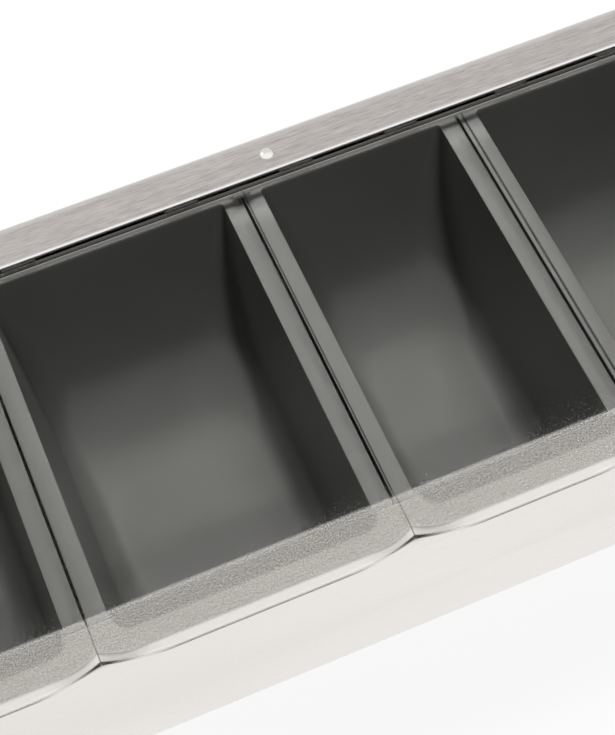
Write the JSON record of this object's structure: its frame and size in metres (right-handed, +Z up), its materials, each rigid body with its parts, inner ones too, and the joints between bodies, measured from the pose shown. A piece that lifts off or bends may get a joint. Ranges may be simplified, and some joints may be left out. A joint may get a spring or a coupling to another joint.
{
  "type": "condiment caddy",
  "caption": "Countertop condiment caddy: a folded steel tray of lift-out bins, each with its own clear flip lid on one rear hinge rod.",
  "frame": {"origin": "middle of the footprint, on the plane that the feet stand on", "axes": "+X along the row of bins towards the narrow ones, +Y towards the hinge side at the back, +Z up"},
  "size_m": [0.396, 0.1378, 0.0565],
  "materials": {
    "stainless_sheet": "brushed along the length",
    "bright_steel": "polished",
    "black_steel": "blackened, bright drawn",
    "bin_plastic": "satin moulded, dark grey",
    "lid_plastic": "clear, with a finely frosted front lip",
    "foot_rubber": "matt black"
  },
  "bodies": {
    "caddy": {"casing_shell": "stainless_sheet", "end_plate_left": "stainless_sheet", "end_plate_right": "stainless_sheet", "hinge_rod": "black_steel", "rod_cap_left": "black_steel", "rod_cap_right": "black_steel", "hinge_bracket_left": "stainless_sheet", "hinge_bracket_centre": "stainless_sheet", "hinge_bracket_right": "stainless_sheet", "bracket_rivets": "bright_steel", "bin_1": "bin_plastic", "bin_2": "bin_plastic", "bin_3": "bin_plastic", "bin_4": "bin_plastic", "bin_5": "bin_plastic", "foot_front_left": "foot_rubber", "foot_front_right": "foot_rubber", "foot_back_left": "foot_rubber", "foot_back_right": "foot_rubber"},
    "lid_1": {"lid_1": "lid_plastic"},
    "lid_2": {"lid_2": "lid_plastic"},
    "lid_3": {"lid_3": "lid_plastic"},
    "lid_4": {"lid_4": "lid_plastic"},
    "lid_5": {"lid_5": "lid_plastic"}
  },
  "joints": [
    {"name": "lid_1_hinge", "type": "hinge", "parent": "caddy", "child": "lid_1", "pos_m": [-0.14245, 0.053, 0.0535], "axis": [-1, 0, 0], "range_deg": [0, 105]},
    {"name": "lid_2_hinge", "type": "hinge", "parent": "caddy", "child": "lid_2", "pos_m": [-0.05945, 0.053, 0.0535], "axis": [-1, 0, 0], "range_deg": [0, 105]},
    {"name": "lid_3_hinge", "type": "hinge", "parent": "caddy", "child": "lid_3", "pos_m": [0.0157, 0.053, 0.0535], "axis": [-1, 0, 0], "range_deg": [0, 105]},
    {"name": "lid_4_hinge", "type": "hinge", "parent": "caddy", "child": "lid_4", "pos_m": [0.083, 0.053, 0.0535], "axis": [-1, 0, 0], "range_deg": [0, 105]},
    {"name": "lid_5_hinge", "type": "hinge", "parent": "caddy", "child": "lid_5", "pos_m": [0.1503, 0.053, 0.0535], "axis": [-1, 0, 0], "range_deg": [0, 105]}
  ]
}
